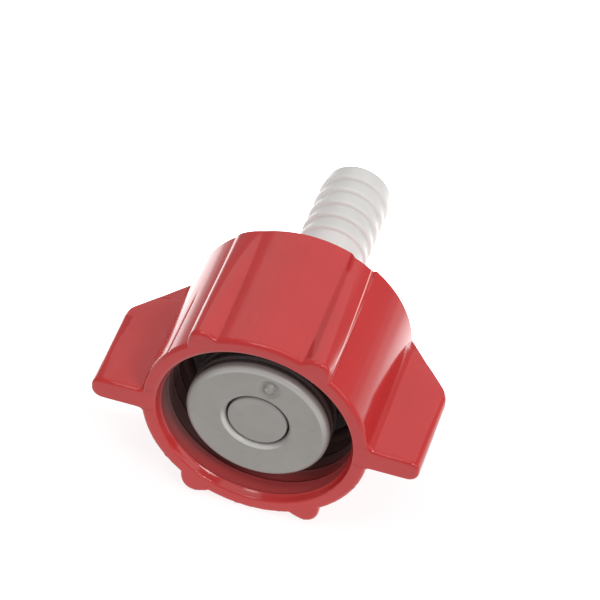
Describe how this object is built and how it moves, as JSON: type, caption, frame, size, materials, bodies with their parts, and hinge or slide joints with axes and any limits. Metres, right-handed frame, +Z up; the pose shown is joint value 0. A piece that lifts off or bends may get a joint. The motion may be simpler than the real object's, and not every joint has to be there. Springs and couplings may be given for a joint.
{
  "type": "winged hose coupling",
  "caption": "Screw-on hose coupling: a captive winged nut turns on a barbed hose tail, and a sprung poppet in a rubber-sleeved core shuts the flow.",
  "frame": {"origin": "on the axis, in the plane of the nut's mouth", "axes": "+Y from the mouth along the axis to the hose end, +X along the wings, +Z up with the wings level"},
  "size_m": [0.0468, 0.0498, 0.0324],
  "materials": {
    "nut_red": "semi-gloss moulded red plastic",
    "tail_grey": "satin light grey moulded plastic",
    "core_grey": "satin mid grey moulded plastic",
    "rubber_black": "glossy wet-looking black rubber",
    "washer_white": "plain white bearing plastic",
    "spring_steel": "drawn stainless wire"
  },
  "bodies": {
    "tail": {"hose_tail": "tail_grey", "tail_o_ring": "rubber_black", "slip_washer": "washer_white", "core_body": "core_grey", "seal_boot": "rubber_black", "rim_gasket": "rubber_black", "face_cap": "core_grey", "spring_guide": "washer_white", "return_spring": "spring_steel"},
    "nut": {"wing_nut": "nut_red"},
    "valve": {"poppet": "core_grey", "poppet_seal": "rubber_black"}
  },
  "joints": [
    {"name": "nut_swivel", "type": "hinge", "parent": "tail", "child": "nut", "pos_m": [0, 0, 0], "axis": [0, 1, 0], "continuous": true},
    {"name": "poppet_push", "type": "slide", "parent": "tail", "child": "valve", "axis": [0, 1, 0], "range_m": [0, 0.0035], "stiffness_N_per_m": 350, "springref_m": -0.004, "deforming": ["return_spring"]}
  ]
}
